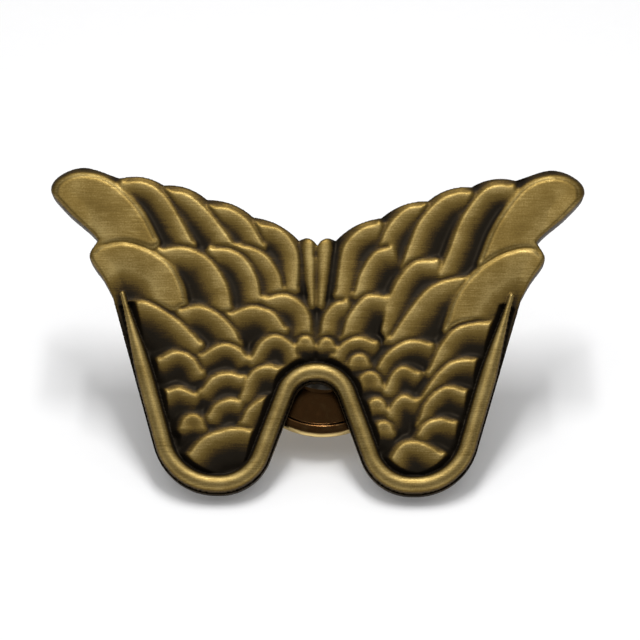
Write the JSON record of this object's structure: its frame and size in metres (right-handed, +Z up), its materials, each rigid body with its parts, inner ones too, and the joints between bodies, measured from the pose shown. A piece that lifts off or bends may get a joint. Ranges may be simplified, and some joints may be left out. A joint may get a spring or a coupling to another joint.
{
  "type": "winged lapel badge with butterfly clutch",
  "caption": "Pair of spread feathered wings cast as a lapel badge, with a pointed post on its back and a removable butterfly clutch that squeezes open.",
  "frame": {"origin": "middle of the bounding box, on the surface that the badge rests on", "axes": "+Z up, the feathered front faces -Y and upwards, +X along the wings to the right as seen from the front; the badge stands on its two lobes and leans back on its clutch"},
  "size_m": [0.035, 0.0162, 0.0161],
  "materials": {
    "antique_bronze": "antique bronze plate, brushed back on the high edges",
    "solder": "dull solder",
    "post_brass": "drawn wire",
    "polished_gold": "bright gold plate",
    "spring_brass": "satin rolled sheet"
  },
  "bodies": {
    "badge": {"wing_badge": "antique_bronze", "solder_fillet": "solder", "post_pad": "post_brass", "clutch_post": "post_brass"},
    "clutch_carrier": {"clutch_eyelet": "polished_gold"},
    "clutch": {"clutch_dish": "polished_gold", "clutch_spring_frame": "spring_brass"},
    "wing_right": {"clutch_wing_right": "spring_brass"},
    "wing_left": {"clutch_wing_left": "spring_brass"}
  },
  "joints": [
    {"name": "clutch_slide", "type": "slide", "parent": "badge", "child": "clutch_carrier", "axis": [0, 0.7032, -0.711], "range_m": [0, 0.009]},
    {"name": "clutch_spin", "type": "hinge", "parent": "clutch_carrier", "child": "clutch", "pos_m": [0.0004, 0.00066, 0.00604], "axis": [0, 0.7032, -0.711], "continuous": true},
    {"name": "wing_right_squeeze", "type": "hinge", "parent": "clutch", "child": "wing_right", "pos_m": [-0.0018, 0.0015, 0.00518], "axis": [0, 0.711, 0.7032], "range_deg": [0, 10], "stiffness_Nm_per_rad": 0.02},
    {"name": "wing_left_squeeze", "type": "hinge", "parent": "clutch", "child": "wing_left", "pos_m": [0.0026, 0.0015, 0.00518], "axis": [0, -0.711, -0.7032], "range_deg": [0, 10], "stiffness_Nm_per_rad": 0.02}
  ],
  "couplings": [
    {"joint": "wing_left_squeeze", "follows": "wing_right_squeeze", "ratio": 1}
  ]
}
